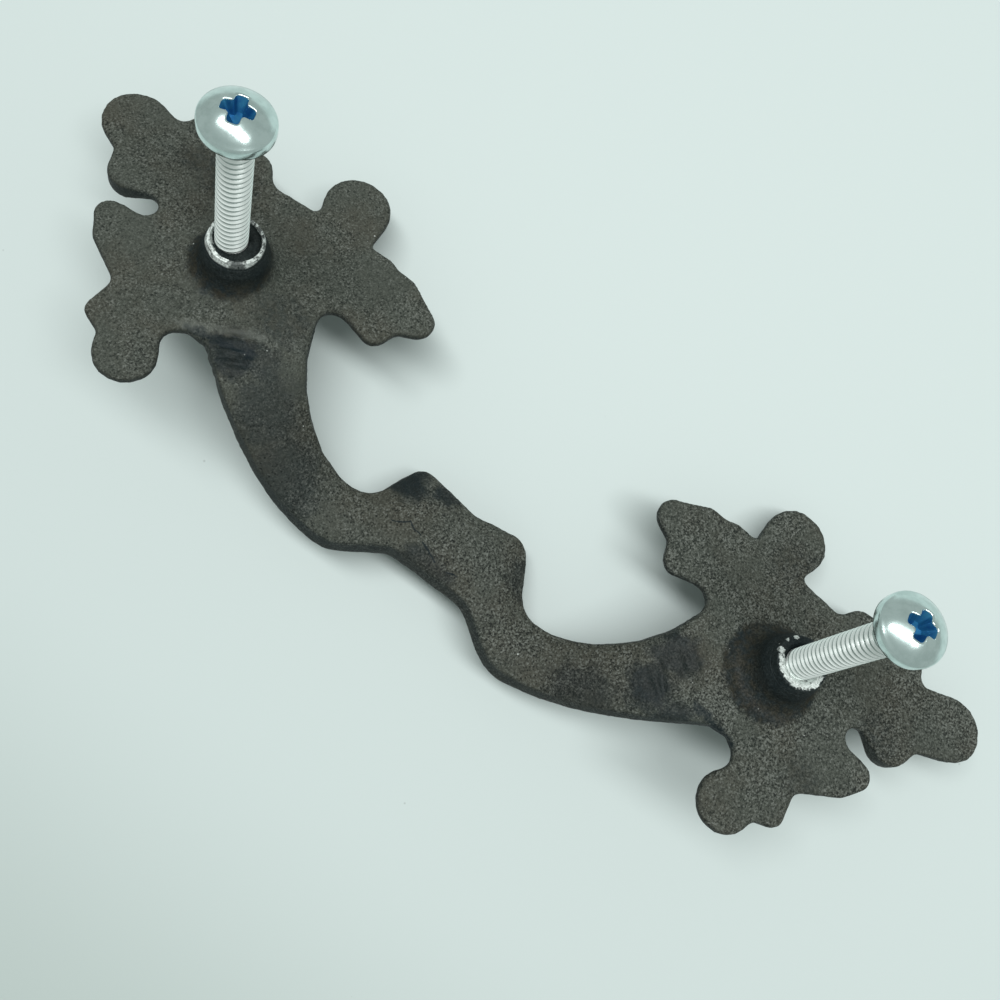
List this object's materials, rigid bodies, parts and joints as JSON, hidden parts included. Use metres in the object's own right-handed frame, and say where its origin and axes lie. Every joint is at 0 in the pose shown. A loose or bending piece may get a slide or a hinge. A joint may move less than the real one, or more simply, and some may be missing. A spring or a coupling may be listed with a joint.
{
  "type": "cabinet handle",
  "caption": "Cast-iron bow handle for a cabinet or drawer, with a leaf-shaped foot at each end and a pan-head screw standing in the tapped boss behind each foot.",
  "frame": {"origin": "midway between the two screws, on the flat back of the leaf-shaped feet", "axes": "+X along the handle towards the foot that is right in the picture; +Y across it, away from the side to which the grip sags; +Z along the screws, out of the back, so the grip is bowed towards -Z. The handle is fixed by its screws in use and keeps this frame of its own."},
  "size_m": [0.1395, 0.0434, 0.0464],
  "materials": {
    "cast_iron": "as cast, dark brownish grey",
    "zinc_steel": "steel with a bright zinc plating"
  },
  "bodies": {
    "root": {"handle_casting": "cast_iron", "left_screw": "zinc_steel", "right_screw": "zinc_steel"}
  },
  "joints": []
}
